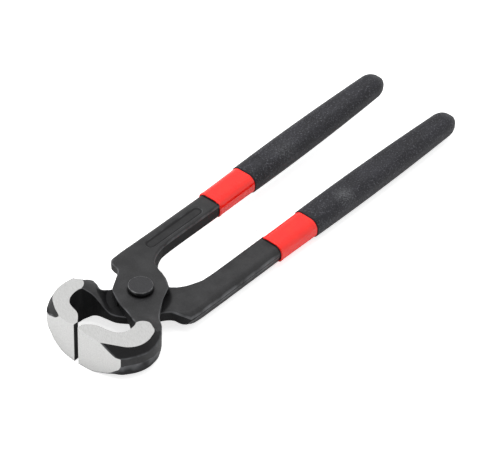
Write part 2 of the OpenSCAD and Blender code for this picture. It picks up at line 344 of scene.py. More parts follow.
@dataclass(frozen=True)
class ForgedSteel(Finish):
    """Drop-forged carbon steel, shot-blasted and blackened with hot black oxide.

    To the eye it is a charcoal grey with a faint grain from the blasting, a
    low waxy gloss, and grey steel showing through on the edges. Where the
    attribute "ground" is above zero it is bare steel off a grinding belt:
    pale, with fine straight scratches.
    """

    name: str = "black_oxide_forged_steel"
    oxide: str = "#353536"
    oxide_dark: str = "#262627"
    # the darker forging scale, also used as the colour of painted shade
    forged: str = "#1e1e1f"
    rubbed: str = "#77787b"
    bright: str = "#dadad9"
    bright_dark: str = "#c9c9c8"
    # the part of the two noises' sum that the oxide's tone uses
    mottle: tuple[float, float] = (0.75, 1.25)
    oxide_roughness: float = 0.46
    bright_roughness: float = 0.34
    # what the grain, then the scratches, add to the roughness at their low and high ends
    oxide_spread: tuple[float, float] = (-0.05, 0.08)
    bright_spread: tuple[float, float] = (0.06, -0.06)
    # gloss of the belted flats and of the scale on the sides
    flat_gloss: float = 0.26
    scale_gloss: float = 0.05
    # blasting grain, coarser than real shot marks so that it shows, and its drift in tone
    grain_mm: float = 0.7
    cloud_mm: float = 7.0
    # belt scratches, drawn coarser than the real grit: spacing, direction and length over width
    scratch_mm: float = 0.35
    scratch_deg: float = 62.0
    scratch_long: float = 12.0
    # half the height over which the ground facet's border turns from black to bright
    border_mm: float = 0.03
    # where rubbing starts to show, where it is complete, and how far it goes
    rub: tuple[float, float, float] = (0.30, 0.75, 0.75)
    # bump: depth, and its strength on the oxide and on bare steel
    relief_mm: float = 0.10
    oxide_relief: float = 0.35
    bright_relief: float = 0.10

    def make(self) -> bpy.types.Material:
        """Builds the material.

        Returns:
            The material, which reads the attributes ground, wear and rough.
        """
        material, tree, shader, place = self.start()
        ground = add_node(tree, "ShaderNodeAttribute", {"attribute_name": "ground"}).outputs["Fac"]
        mask = add_node(
            tree, "ShaderNodeMapRange", {"interpolation_type": "SMOOTHSTEP"},
            Value=ground, From_Min=-self.border_mm, From_Max=self.border_mm,
        ).outputs["Result"]
        wear = add_node(tree, "ShaderNodeAttribute", {"attribute_name": "wear"}).outputs["Fac"]
        grain = add_node(
            tree, "ShaderNodeTexNoise", Vector=place,
            Scale=self.cells(self.grain_mm), Detail=3.0, Roughness=0.6,
        ).outputs["Fac"]
        cloud = add_node(
            tree, "ShaderNodeTexNoise", Vector=place,
            Scale=self.cells(self.cloud_mm), Detail=2.0, Roughness=0.5,
        ).outputs["Fac"]
        mottle = add_node(tree, "ShaderNodeMath", {"operation": "ADD"}, i0=grain, i1=cloud).outputs[0]
        low, high = self.mottle
        tone = add_node(
            tree, "ShaderNodeMapRange", Value=mottle, From_Min=low, From_Max=high,
        ).outputs["Result"]
        oxide = add_node(
            tree, "ShaderNodeMix", {"data_type": "RGBA"},
            Factor=tone, i6=to_linear(self.oxide_dark), i7=to_linear(self.oxide),
        ).outputs[2]
        # the sides keep their darker scale, the flats were belted before blackening; the same mix also
        # paints shade and shadows
        darkening = add_node(tree, "ShaderNodeAttribute", {"attribute_name": "rough"}).outputs["Fac"]
        raw = add_node(
            tree, "ShaderNodeMix", {"data_type": "RGBA"}, Factor=darkening, i6=oxide, i7=to_linear(self.forged),
        ).outputs[2]
        patchy = add_node(tree, "ShaderNodeMath", {"operation": "MULTIPLY"}, i0=wear, i1=cloud).outputs[0]
        first, full, most = self.rub
        rubbed = add_node(
            tree, "ShaderNodeMapRange", Value=patchy, From_Min=first, From_Max=full, To_Max=most,
        ).outputs["Result"]
        black = add_node(
            tree, "ShaderNodeMix", {"data_type": "RGBA"}, Factor=rubbed, i6=raw, i7=to_linear(self.rubbed),
        ).outputs[2]
        swept = add_node(
            tree, "ShaderNodeMapping", {"vector_type": "TEXTURE"}, Vector=place,
            Rotation=(0.0, 0.0, math.radians(self.scratch_deg)), Scale=(self.scratch_long, 1.0, 1.0),
        ).outputs["Vector"]
        scratch = add_node(
            tree, "ShaderNodeTexNoise", Vector=swept,
            Scale=self.cells(self.scratch_mm), Detail=4.0, Roughness=0.7,
        ).outputs["Fac"]
        sheen = add_node(
            tree, "ShaderNodeMapRange", Value=scratch, From_Min=TONE_LOW, From_Max=TONE_HIGH,
        ).outputs["Result"]
        steel = add_node(
            tree, "ShaderNodeMix", {"data_type": "RGBA"},
            Factor=sheen, i6=to_linear(self.bright_dark), i7=to_linear(self.bright),
        ).outputs[2]
        colour = add_node(
            tree, "ShaderNodeMix", {"data_type": "RGBA"}, Factor=mask, i6=black, i7=steel,
        ).outputs[2]
        tree.links.new(colour, shader.inputs["Base Color"])
        low, high = self.oxide_spread
        rough_black = add_node(
            tree, "ShaderNodeMapRange", Value=grain, From_Min=ROUGH_LOW, From_Max=ROUGH_HIGH,
            To_Min=self.oxide_roughness + low, To_Max=self.oxide_roughness + high,
        ).outputs["Result"]
        low, high = self.bright_spread
        rough_steel = add_node(
            tree, "ShaderNodeMapRange", Value=scratch, From_Min=ROUGH_LOW, From_Max=ROUGH_HIGH,
            To_Min=self.bright_roughness + low, To_Max=self.bright_roughness + high,
        ).outputs["Result"]
        rough = add_node(
            tree, "ShaderNodeMix", {"data_type": "FLOAT"}, Factor=mask, i2=rough_black, i3=rough_steel,
        ).outputs[0]
        tree.links.new(rough, shader.inputs["Roughness"])
        tree.links.new(mask, shader.inputs["Metallic"])
        height = add_node(
            tree, "ShaderNodeMix", {"data_type": "FLOAT"}, Factor=mask, i2=grain, i3=scratch,
        ).outputs[0]
        relief = add_node(
            tree, "ShaderNodeMix", {"data_type": "FLOAT"},
            Factor=mask, i2=self.oxide_relief, i3=self.bright_relief,
        ).outputs[0]
        bump = add_node(
            tree, "ShaderNodeBump", Height=height, Strength=relief, Distance=self.relief_mm * MM,
        ).outputs["Normal"]
        tree.links.new(bump, shader.inputs["Normal"])
        gloss = add_node(
            tree, "ShaderNodeMapRange", Value=darkening, To_Min=self.flat_gloss, To_Max=self.scale_gloss,
        ).outputs["Result"]
        # the export drops this link and keeps the flats' own gloss
        shader.inputs["Specular IOR Level"].default_value = self.flat_gloss
        tree.links.new(gloss, shader.inputs["Specular IOR Level"])
        return material


@dataclass(frozen=True)
class RivetSteel(Finish):
    """Headed mild steel rivet, blackened with the levers and lightly rubbed.

    The eye sees the same charcoal, a little smoother, with a thin bright rim
    over a side that is painted black as shade.
    """

    name: str = "black_oxide_rivet_steel"
    oxide: str = "#343436"
    oxide_dark: str = "#29292b"
    # the side, painted black as shade
    side: str = "#0c0c0d"
    rubbed: str = "#8a8b8c"
    roughness: float = 0.42
    # what the grain adds to the roughness at its low and high ends
    spread: tuple[float, float] = (-0.05, 0.06)
    # gloss of the head's top and of its side, which is painted black as shade
    top_gloss: float = 0.3
    side_gloss: float = 0.02
    # grain, coarser than the real one so that it shows, and the patches in which the rim is rubbed
    grain_mm: float = 0.5
    cloud_mm: float = 3.0
    # where rubbing starts to show, where it is complete, and how far it goes
    rub: tuple[float, float, float] = (0.25, 0.60, 0.9)
    relief_mm: float = 0.08
    relief: float = 0.25

    def make(self) -> bpy.types.Material:
        """Builds the material.

        Returns:
            The material, which reads the attributes wear and rough.
        """
        material, tree, shader, place = self.start()
        grain = add_node(
            tree, "ShaderNodeTexNoise", Vector=place,
            Scale=self.cells(self.grain_mm), Detail=3.0, Roughness=0.6,
        ).outputs["Fac"]
        tone = add_node(
            tree, "ShaderNodeMapRange", Value=grain, From_Min=TONE_LOW, From_Max=TONE_HIGH,
        ).outputs["Result"]
        oxide = add_node(
            tree, "ShaderNodeMix", {"data_type": "RGBA"},
            Factor=tone, i6=to_linear(self.oxide_dark), i7=to_linear(self.oxide),
        ).outputs[2]
        wear = add_node(tree, "ShaderNodeAttribute", {"attribute_name": "wear"}).outputs["Fac"]
        cloud = add_node(
            tree, "ShaderNodeTexNoise", Vector=place, Scale=self.cells(self.cloud_mm),
        ).outputs["Fac"]
        patchy = add_node(tree, "ShaderNodeMath", {"operation": "MULTIPLY"}, i0=wear, i1=cloud).outputs[0]
        first, full, most = self.rub
        rubbed = add_node(
            tree, "ShaderNodeMapRange", Value=patchy, From_Min=first, From_Max=full, To_Max=most,
        ).outputs["Result"]
        # the rim's side is painted black as its shade
        darkening = add_node(tree, "ShaderNodeAttribute", {"attribute_name": "rough"}).outputs["Fac"]
        body = add_node(
            tree, "ShaderNodeMix", {"data_type": "RGBA"}, Factor=darkening, i6=oxide, i7=to_linear(self.side),
        ).outputs[2]
        colour = add_node(
            tree, "ShaderNodeMix", {"data_type": "RGBA"}, Factor=rubbed, i6=body, i7=to_linear(self.rubbed),
        ).outputs[2]
        tree.links.new(colour, shader.inputs["Base Color"])
        gloss = add_node(
            tree, "ShaderNodeMapRange", Value=darkening, To_Min=self.top_gloss, To_Max=self.side_gloss,
        ).outputs["Result"]
        # the export drops this link and keeps the top's own gloss
        shader.inputs["Specular IOR Level"].default_value = self.top_gloss
        tree.links.new(gloss, shader.inputs["Specular IOR Level"])
        low, high = self.spread
        rough = add_node(
            tree, "ShaderNodeMapRange", Value=grain, From_Min=ROUGH_LOW, From_Max=ROUGH_HIGH,
            To_Min=self.roughness + low, To_Max=self.roughness + high,
        ).outputs["Result"]
        tree.links.new(rough, shader.inputs["Roughness"])
        bump = add_node(
            tree, "ShaderNodeBump", Height=grain, Strength=self.relief, Distance=self.relief_mm * MM,
        ).outputs["Normal"]
        tree.links.new(bump, shader.inputs["Normal"])
        return material


@dataclass(frozen=True)
class DippedVinyl(Finish):
    """Soft PVC plastisol, hot-dipped in one coat: smooth, wet-looking, bright red.

    A faint long waviness from the run-off breaks the reflections, and the
    surface skin is sharp enough to show every light.
    """

    name: str = "dipped_red_vinyl"
    red: str = "#ff1a06"
    red_deep: str = "#fb1203"
    roughness: float = 0.16
    # what the pores add to the roughness at their low and high ends
    spread: tuple[float, float] = (-0.03, 0.06)
    ior: float = 1.58
    # the run-off's waviness and the skin's pores: size, bump strength and bump depth
    wave_mm: float = 6.0
    wave_relief: float = 0.12
    wave_deep_mm: float = 0.4
    pore_mm: float = 0.6
    pore_relief: float = 0.05
    pore_deep_mm: float = 0.05

    def make(self) -> bpy.types.Material:
        """Builds the material.

        Returns:
            The material.
        """
        material, tree, shader, place = self.start()
        wave = add_node(
            tree, "ShaderNodeTexNoise", Vector=place,
            Scale=self.cells(self.wave_mm), Detail=1.0, Roughness=0.4,
        ).outputs["Fac"]
        pores = add_node(
            tree, "ShaderNodeTexNoise", Vector=place,
            Scale=self.cells(self.pore_mm), Detail=2.0, Roughness=0.5,
        ).outputs["Fac"]
        tone = add_node(
            tree, "ShaderNodeMapRange", Value=wave, From_Min=TONE_LOW, From_Max=TONE_HIGH,
        ).outputs["Result"]
        colour = add_node(
            tree, "ShaderNodeMix", {"data_type": "RGBA"},
            Factor=tone, i6=to_linear(self.red_deep), i7=to_linear(self.red),
        ).outputs[2]
        tree.links.new(colour, shader.inputs["Base Color"])
        low, high = self.spread
        rough = add_node(
            tree, "ShaderNodeMapRange", Value=pores, From_Min=ROUGH_LOW, From_Max=ROUGH_HIGH,
            To_Min=self.roughness + low, To_Max=self.roughness + high,
        ).outputs["Result"]
        tree.links.new(rough, shader.inputs["Roughness"])
        fine = add_node(
            tree, "ShaderNodeBump", Height=pores, Strength=self.pore_relief, Distance=self.pore_deep_mm * MM,
        ).outputs["Normal"]
        bump = add_node(
            tree, "ShaderNodeBump", Height=wave, Normal=fine,
            Strength=self.wave_relief, Distance=self.wave_deep_mm * MM,
        ).outputs["Normal"]
        tree.links.new(bump, shader.inputs["Normal"])
        shader.inputs["IOR"].default_value = self.ior
        return material


@dataclass(frozen=True)
class FoamedVinyl(Finish):
    """Foamed PVC plastisol grip coat: matt black with a fine sandy texture.

    Pinhead pores and crumbs about 0.3 mm across catch the light, the tone
    drifts slowly along the grip, and handling has greyed a few patches.
    """

    name: str = "foamed_black_vinyl"
    black: str = "#151519"
    black_pale: str = "#25252a"
    crumb: str = "#5c5c62"
    rubbed: str = "#5c5d60"
    # painted shade on the grip's first bead
    bead_shade: str = "#08080a"
    roughness: float = 0.74
    # what the sand adds to the roughness at its low and high ends
    spread: tuple[float, float] = (-0.08, 0.08)
    gloss: float = 0.3
    sheen: float = 0.15
    sheen_roughness: float = 0.5
    # crumbs: 0.8 mm, drawn coarser than the real 0.3 mm so that they show, and the drift in tone
    sand_mm: float = 0.8
    drift_mm: float = 9.0
    # where a crumb starts, where it is palest, and how pale
    speck: tuple[float, float, float] = (0.52, 0.70, 0.9)
    relief_mm: float = 0.18
    relief: float = 0.55
    # two places that a hand or a bench has greyed: middle and reach in millimetres, and how much
    worn: tuple[tuple[tuple[float, float, float], float, float], ...] = (
        ((36.7, -23.8, 13.3), 8.0, 1.0), ((39.6, 15.4, 17.5), 11.0, 0.5),
    )

    def make(self) -> bpy.types.Material:
        """Builds the material.

        Returns:
            The material, which reads the attribute that paints shade on the grip's first bead.
        """
        material, tree, shader, place = self.start()
        sand = add_node(
            tree, "ShaderNodeTexNoise", Vector=place,
            Scale=self.cells(self.sand_mm), Detail=4.0, Roughness=0.7,
        ).outputs["Fac"]
        drift = add_node(
            tree, "ShaderNodeTexNoise", Vector=place,
            Scale=self.cells(self.drift_mm), Detail=5.0, Roughness=0.65,
        ).outputs["Fac"]
        tone = add_node(
            tree, "ShaderNodeMapRange", Value=drift, From_Min=TONE_LOW, From_Max=TONE_HIGH,
        ).outputs["Result"]
        base = add_node(
            tree, "ShaderNodeMix", {"data_type": "RGBA"},
            Factor=tone, i6=to_linear(self.black), i7=to_linear(self.black_pale),
        ).outputs[2]
        first, full, most = self.speck
        speck = add_node(
            tree, "ShaderNodeMapRange", Value=sand, From_Min=first, From_Max=full, To_Max=most,
        ).outputs["Result"]
        crumbs = add_node(
            tree, "ShaderNodeMix", {"data_type": "RGBA"}, Factor=speck, i6=base, i7=to_linear(self.crumb),
        ).outputs[2]
        rub = None
        for middle, reach, amount in self.worn:
            away = add_node(
                tree, "ShaderNodeVectorMath", {"operation": "DISTANCE"},
                i0=place, i1=tuple(MM * c for c in middle),
            ).outputs["Value"]
            near = add_node(
                tree, "ShaderNodeMapRange", {"interpolation_type": "SMOOTHSTEP"},
                Value=away, From_Min=0.0, From_Max=reach * MM, To_Min=amount, To_Max=0.0,
            ).outputs["Result"]
            rub = near if rub is None else add_node(
                tree, "ShaderNodeMath", {"operation": "ADD", "use_clamp": True}, i0=rub, i1=near,
            ).outputs[0]
        broken = add_node(
            tree, "ShaderNodeMapRange", Value=sand, From_Min=TONE_LOW, From_Max=TONE_HIGH,
        ).outputs["Result"]
        rub = add_node(tree, "ShaderNodeMath", {"operation": "MULTIPLY"}, i0=rub, i1=broken).outputs[0]
        greyed = add_node(
            tree, "ShaderNodeMix", {"data_type": "RGBA"}, Factor=rub, i6=crumbs, i7=to_linear(self.rubbed),
        ).outputs[2]
        # the first bead of the dip is smooth, and painted darker as the shade at the red sleeve's edge
        bead_shade = add_node(tree, "ShaderNodeAttribute", {"attribute_name": "bead_shade"}).outputs["Fac"]
        colour = add_node(
            tree, "ShaderNodeMix", {"data_type": "RGBA"}, Factor=bead_shade, i6=greyed, i7=to_linear(self.bead_shade),
        ).outputs[2]
        tree.links.new(colour, shader.inputs["Base Color"])
        low, high = self.spread
        rough = add_node(
            tree, "ShaderNodeMapRange", Value=sand, From_Min=ROUGH_LOW, From_Max=ROUGH_HIGH,
            To_Min=self.roughness + low, To_Max=self.roughness + high,
        ).outputs["Result"]
        tree.links.new(rough, shader.inputs["Roughness"])
        bump = add_node(
            tree, "ShaderNodeBump", Height=sand, Strength=self.relief, Distance=self.relief_mm * MM,
        ).outputs["Normal"]
        tree.links.new(bump, shader.inputs["Normal"])
        shader.inputs["Specular IOR Level"].default_value = self.gloss
        shader.inputs["Sheen Weight"].default_value = self.sheen
        shader.inputs["Sheen Roughness"].default_value = self.sheen_roughness
        return material


# Levers


@dataclass
class Lever:
    """One forged lever, from its cutting edge to the mouth of the red sleeve.

    It is drawn the way a pattern maker lofts a forging. Two curves seen from
    above, one down each side, are cut by the same stations. Straight lines
    join them station by station, and the top and the underside are heights
    over those lines: the lowest of the ground facet, the bevel round the curl,
    the neck's slope and the joint's level. Upright walls close the sides. In
    every table by station the first number is a place on the scale of rows.
    """

    side: Side
    # stations: x and y of the outer or crotch side, then of the mouth or back side
    rows: tuple[Row, ...] = (
        (-42.47, -1.25, -42.47, -1.25),
        (-42.40, -3.00, -41.20, -1.25),
        (-42.28, -5.00, -40.00, -1.25),
        (-42.00, -7.50, -38.00, -2.95),
        (-41.62, -10.0, -36.20, -4.75),
        (-40.90, -13.5, -34.70, -7.20),
        (-39.89, -17.2, -33.90, -9.60),
        (-38.90, -20.2, -33.00, -11.9),
        (-37.80, -23.1, -31.90, -14.0),
        (-35.90, -24.8, -31.00, -15.0),
        (-33.50, -26.3, -30.10, -15.8),
        (-30.30, -28.0, -28.90, -16.6),
        (-27.00, -29.0, -27.20, -17.2),
        (-23.60, -29.22, -25.30, -17.55),
        (-20.20, -28.8, -23.60, -17.55),
        (-17.50, -27.95, -22.20, -17.3),
        (-15.00, -26.6, -21.10, -16.6),
        (-11.30, -23.6, -19.60, -14.4),
        (-8.10, -19.3, -17.70, -11.5),
        (-3.00, -15.2, -16.10, -8.60),
        (2.20, -11.9, -14.60, -4.00),
        (6.50, -9.80, -13.50, 0.00),
        (10.40, -7.70, -11.80, 4.20),
        (12.80, -2.00, -8.90, 9.30),
        (15.20, 4.20, -6.50, 11.1),
        (15.90, 6.40, -1.50, 14.0),
        (17.00, 7.70, 2.80, 17.0),
        (18.50, 8.80, 4.20, 20.3),
        (20.10, 9.80, 5.10, 23.2),
        (23.20, 11.1, 6.80, 25.2),
        (26.50, 12.3, 11.00, 25.5),
        (31.00, 12.95, 22.00, 25.7),
        (42.00, 13.2, 40.00, 25.75),
        (54.00, 13.2, 54.00, 25.8),
        (70.30, 13.2, 70.30, 25.8),
    )
    # where the two forgings differ: row, x and y of the outer or crotch side
    upper_crotch: tuple[tuple[float, float, float], ...] = (
        (22, 10.5, -8.0), (23, 13.8, -2.1), (24, 16.1, 3.4), (25, 17.0, 5.7),
        (26, 18.0, 7.6), (27, 19.3, 9.0), (28, 20.9, 10.1), (29, 23.4, 11.3),
    )
    lower_crotch: tuple[tuple[float, float, float], ...] = (
        (18, -8.8, -17.3), (19, -5.6, -13.9), (24, 14.3, 4.6), (25, 15.5, 6.3), (26, 17.0, 7.8),
    )
    # and of the lower forging's mouth side, whose joint plate is the wider one
    lower_mouth: tuple[tuple[float, float, float], ...] = (
        (18, -18.4, -11.6), (19, -18.2, -8.2), (20, -18.0, -4.4), (21, -16.9, 0.3),
        (22, -14.2, 4.4), (23, -9.6, 9.6), (26, 2.3, 17.2), (27, 3.8, 20.5), (28, 5.2, 23.4),
    )
    # rows at which each side curve turns sharply
    outer_corners: tuple[int, ...] = (8, 22)
    mouth_corners: tuple[int, ...] = (2, 29)
    # row of the front's outer corner, half the gap between the two stations that keep its paint
    # crisp, and how fast the ground paint ends there
    front_row: int = 8
    front_gap: float = 0.02
    front_sharp: float = 8.0
    # row at which the jaw's neck ends and the joint plate begins
    plate_row: float = 22.0
    # the cutting edge and the facet that falls away from it
    reach: float = 42.5
    half_gap: float = 1.1
    tip_z: float = 11.3
    facet_x: float = 0.084
    facet_y: float = 0.219
    # the curl: its axis, radius, straight run's direction, band and bevel
    curl_x: float = 23.9
    curl_y: float = 12.6
    curl_r: float = 16.65
    run_turn: float = 140.7
    band_h: float = 2.3
    bevel_slope: float = 2.19
    # the flatter flare at the bevel's foot: middle, reach, radius and slope
    flare_x: float = 37.8
    flare_y: float = 23.1
    flare_reach: float = 3.0
    flare_r: float = 17.4
    flare_slope: float = 0.55
    # height by which bevel and underside are lifted out of the way, by station
    lift: Table = ((14.0, 0.0), (16.0, 1.2), (18.0, 9.0), (19.0, 60.0), (20.0, 400.0), (40.0, 400.0))
    # the jaw's underside: how fast its side turns under, how wide its edge is, the share of the
    # first, and its slope beyond the band
    low_turn: float = 0.45
    low_wide: float = 5.0
    low_share: float = 0.65
    low_beyond: float = 0.5
    # the lower half's jaw was ground deeper beside its front corner: x, y, spread both ways, depth
    deeper: tuple[float, float, float, float, float] = (-41.3, 14.0, 2.5, 4.5, 1.7)
    # the neck: height, slope, extra rise, direction and start of its climb from the joint
    neck_z: float = 4.7
    neck_slope: float = 0.649
    neck_rise: float = 0.10
    neck_turn: float = 133.3
    neck_from: float = 20.1
    # the facet's nose, which the neck falls away from: middle, radius and height
    nose_x: float = 21.6
    nose_y: float = 21.2
    nose_r: float = 5.0
    nose_z: float = 9.2
    # forward of nose_back the neck climbs out of the way at this slope
    nose_back: float = 22.0
    neck_away: float = 1.5
    # height of the neck's outer flank at its edge, by station, on each half
    upper_flank: Table = (
        (13.5, 14.0), (15.0, 6.2), (16.0, 4.6), (17.0, 3.3), (18.0, 2.4), (19.0, 2.2), (20.0, 4.0),
        (21.0, 9.0),
    )
    lower_flank: Table = (
        (13.5, 14.0), (15.0, 6.2), (16.0, 4.6), (16.7, 3.5), (17.0, 3.8), (17.5, 4.6), (17.8, 3.0),
        (18.0, 0.6), (18.4, -0.8), (19.5, -0.8), (21.0, 9.0),
    )
    # depth of the neck's underside at the same edge; the upper half's clears the other's back corner
    upper_low_flank: Table = (
        (13.5, 14.0), (15.0, 8.0), (16.0, 6.5), (17.0, 5.0), (17.6, 3.0), (18.0, 0.2), (18.4, -0.5),
        (19.5, -0.5), (20.0, 4.0), (21.0, 9.0),
    )
    lower_low_flank: Table = (
        (13.5, 14.0), (15.0, 8.0), (16.0, 6.5), (17.0, 5.0), (18.0, 3.5), (19.0, 2.5), (20.0, 4.0),
        (21.0, 9.0),
    )
    # the joint: radius and slope of the step beside the plate, plate faces and thicknesses
    step_r: float = 15.8
    step_slope: float = 1.3
    lap_upper: float = 0.30
    lap_lower: float = 0.20
    plate_t: float = 4.6
    shank_t: float = 8.3
    # rows over which the plate thickens to the shank, and how much earlier at the crotch
    thick_rows: tuple[float, float] = (26.5, 29.5)
    crotch_rows: float = 2.2
    crotch_wide: float = 5.0
    # the upper half's level shelf at the outer edge: rows, depth before it, width and inner slope
    shelf_rows: tuple[float, float] = (17.5, 18.05)
    shelf_low: float = -12.0
    shelf_wide: float = 4.6
    shelf_slope: float = 4.0
    # how far the lower half hangs lower beside the mouth and at its back, by station
    hang: Table = (
        (13.0, 0.0), (15.0, 0.9), (18.0, 0.9), (20.0, 0.0), (23.0, 0.0), (24.5, 1.0), (27.5, 1.0),
        (29.0, 0.0),
    )
    hang_wide: float = 7.0
    # fillets: along the facet's crest, at the flare, flanks, neck, underside, plate and belly
    crest_fillet: float = 0.15
    flare_fillet: float = 0.4
    flank_fillet: float = 0.8
    neck_fillet: float = 0.5
    root_fillet: float = 0.4
    lap_fillet: float = 0.25
    plate_fillet: float = 2.2
    belly_fillet: float = 2.0
    ground_fillet: float = 2.4
    # the sunk panel: start, length, width, middle, depth and half the width of its rim
    panel_x: float = 24.0
    panel_l: float = 37.0
    panel_w: float = 5.2
    panel_y: float = 18.2
    panel_d: float = 0.6
    panel_rim: float = 0.45
    # edge rounding by station: the outer or crotch side up to the shank, then the back side
    outer_round: Table = ((0, 0.05), (8, 0.12), (12, 0.2), (20, 0.5), (24, 0.7))
    shank_row: float = 28.0
    upper_shank_r: float = 1.5
    lower_shank_r: float = 0.7
    back_round: Table = (
        (0, 0.04), (12, 0.08), (16, 0.3), (20, 0.5), (26, 0.6), (28, 1.8), (29, 3.0), (31, 3.3), (40, 3.3),
    )
    under_r: float = 0.4
    # no rounding takes more than this share of the width, and no wall is lower than this
    most_round: float = 0.45
    least_wall: float = 0.05
    # how far the crotch's wall spreads downward, by station, and the lower half's share of that
    spread: Table = ((21.5, 0), (22.5, 1.2), (23.5, 2.1), (26.5, 2.1), (28.5, 0.9), (30.5, 0))
    lower_spread: float = 0.6
    # long chamfers under the shank: width and height on the crotch side, then on the back side
    out_w: Table = ((24, 0.01), (28, 1.1), (40, 1.1))
    out_h: Table = ((24, 0.0), (28, 1.2), (40, 1.2))
    in_w: Table = ((27, 0.01), (28.2, 1.6), (29, 2.3), (30, 2.2), (31.5, 1.4), (40, 1.4))
    in_h: Table = ((27, 0.0), (28.2, 1.3), (29, 3.4), (30, 4.2), (31.5, 4.2), (40, 4.2))
    # wear: how far it reaches in from an edge, and on the panel's rim its middle, width and strength
    wear_wide: float = 0.7
    rim_wear: tuple[float, float, float] = (0.15, 0.3, 0.8)
    # darkness of the mouth's wall, then by station of the outer wall and of the underside's edge: their
    # darker scale, deepened as painted shade
    mouth_dark: float = 0.7
    outer_dark: Table = ((20, 0.0), (24, 0.75), (40, 0.75))
    low_dark: Table = ((0, 0.6), (16, 0.6), (20, 0.0), (40, 0.0))
    # darkness of the bevel: its unground scale, deepened as painted shade, and how sharply it begins
    bevel_dark: float = 0.75
    bevel_sharp: float = 4.0
    # painted shadow round the rivet head: radius and fade
    head_shadow: tuple[float, float] = (6.5, 0.3)
    # the sunk panel: how much darker its floor is, then the painted shade against its rim with how far in
    # and how wide
    panel_floor_dark: float = 0.25
    panel_rim_shade: tuple[float, float, float] = (0.55, 0.55, 0.35)
    # painted shadow on the lower half cast by the other's plate: radius at the mouth and crotch, fade,
    # strength
    plate_shadow: tuple[float, float, float, float] = (19.2, 14.9, 1.2, 0.95)
    scoop_sharp: float = 3.0
    # painted shadow on the shank under the red sleeve's lip: start and fade along the shank
    lip_shadow: tuple[float, float] = (68.4, 0.2)
    # mesh steps: station spacing, and cells across the top, the underside and each wall
    step_mm: float = 0.42
    top_cells: int = 110
    under_cells: int = 64
    wall_cells: int = 12

    def stations(self) -> tuple[np.ndarray, np.ndarray, np.ndarray]:
        """Cuts both side curves at the same stations.

        Each span between two rows is cut into equal steps of at most step_mm,
        measured on the longer of its two sides.

        Returns:
            Station numbers on the scale of the rows, and the two curves.
        """
        rows = np.array(self.rows)
        outer, mouth = rows[:, :2], rows[:, 2:]
        upper = self.side is Side.UPPER
        for row, x, y in self.upper_crotch if upper else self.lower_crotch:
            outer[row] = (x, y)
        for row, x, y in () if upper else self.lower_mouth:
            mouth[row] = (x, y)
        outer_steps = np.linalg.norm(np.diff(outer, axis=0), axis=1)
        mouth_steps = np.linalg.norm(np.diff(mouth, axis=0), axis=1)
        long_side = np.maximum(outer_steps, mouth_steps)
        knots = np.concatenate([[0.0], np.cumsum(long_side)])
        counts = np.ceil(long_side / self.step_mm).astype(int)
        spans = [k0 + (k1 - k0) * np.arange(n) / n for k0, k1, n in zip(knots[:-1], knots[1:], counts)]
        edge = knots[self.front_row] + np.array([-self.front_gap, self.front_gap])
        at = np.unique(np.concatenate(spans + [knots[-1:], edge]))
        number = np.interp(at, knots, np.arange(len(rows)))
        return (
            number,
            through(outer, knots, at, set(self.outer_corners)),
            through(mouth, knots, at, set(self.mouth_corners)),
        )

    def facet(self, x: np.ndarray, q: np.ndarray) -> np.ndarray:
        """Height of the ground facet: a plane that falls away from the cutting edge."""
        plane = self.tip_z + self.facet_x * (x + self.reach) - self.facet_y * (q - self.half_gap)
        return np.minimum(plane, self.tip_z)

    def bevel(self, x: np.ndarray, q: np.ndarray, lift: np.ndarray) -> tuple[np.ndarray, np.ndarray]:
        """Height of the bevel that rounds the curl, and depth of its underside.

        The bevel is a cone round the curl's axis, or a plane beyond run_turn,
        that reaches the band at curl_r, with a flatter flare at its foot. The
        underside has a steep side that turns under in two stages: with d the
        distance inside the band, the depth still missing is the share
        low_share * exp(-d / low_turn) + (1 - low_share) * (1 - d / low_wide).

        Args:
            x: Places along the tool.
            q: Places across it, counted toward the jaw.
            lift: Height by which the bevel is raised out of the way.

        Returns:
            Heights of the bevel and depths of the underside.
        """
        dx, dq = x + self.curl_x, q - self.curl_y
        turn = math.radians(self.run_turn)
        run = math.cos(turn) * dx + math.sin(turn) * dq
        beyond = (np.arctan2(dq, dx) > turn) | (np.arctan2(dq, dx) < -math.pi / 2)
        rho = np.where(beyond, run, np.hypot(dx, dq))
        cone = self.band_h + (self.curl_r - rho) * self.bevel_slope
        flare_at = np.square((x + self.flare_x) / self.flare_reach)
        near = np.exp(-flare_at - np.square((q - self.flare_y) / self.flare_reach))
        foot_r = self.curl_r + (self.flare_r - self.curl_r) * near
        flare = self.band_h + (foot_r - rho) * self.flare_slope
        top = soft_max(cone, flare, self.flare_fillet) + lift
        if self.side is Side.LOWER:
            at_x, at_q, wide_x, wide_q, deep = self.deeper
            top = top - deep * np.exp(-np.square((x - at_x) / wide_x) - np.square((q - at_q) / wide_q))
        inside = np.clip(foot_r - rho, 0.0, self.low_wide)
        missing = self.low_share * np.exp(-inside / self.low_turn)
        missing = missing + (1.0 - self.low_share) * (1.0 - inside / self.low_wide)
        depth = self.tip_z - (self.tip_z - self.band_h) * missing
        depth = depth + self.low_beyond * np.minimum(foot_r - rho, 0.0)
        return top, depth + lift

    def neck(self, x: np.ndarray, q: np.ndarray) -> tuple[np.ndarray, np.ndarray]:
        """Heights of the neck between the joint and the facet.

        The underside is a plane that climbs from the joint. The top is a cone
        round the nose, nose_z - neck_slope * (distance - nose_r). Both climb
        out of the way inside the curl.

        Args:
            x: Places along the tool.
            q: Places across it, counted toward the jaw.

        Returns:
            Heights of the neck for the underside and for the top.
        """
        turn = math.radians(self.neck_turn)
        climb = math.cos(turn) * x + math.sin(turn) * q - self.neck_from
        plain = self.neck_z + self.neck_slope * climb + self.neck_rise * np.maximum(climb, 0.0)
        away = np.hypot(x + self.nose_x, q - self.nose_y) - self.nose_r
        cone = self.nose_z - self.neck_slope * away
        return (
            plain + self.neck_away * np.maximum(-self.curl_x - x, 0.0),
            cone + self.neck_away * np.maximum(-self.nose_back - x, 0.0),
        )

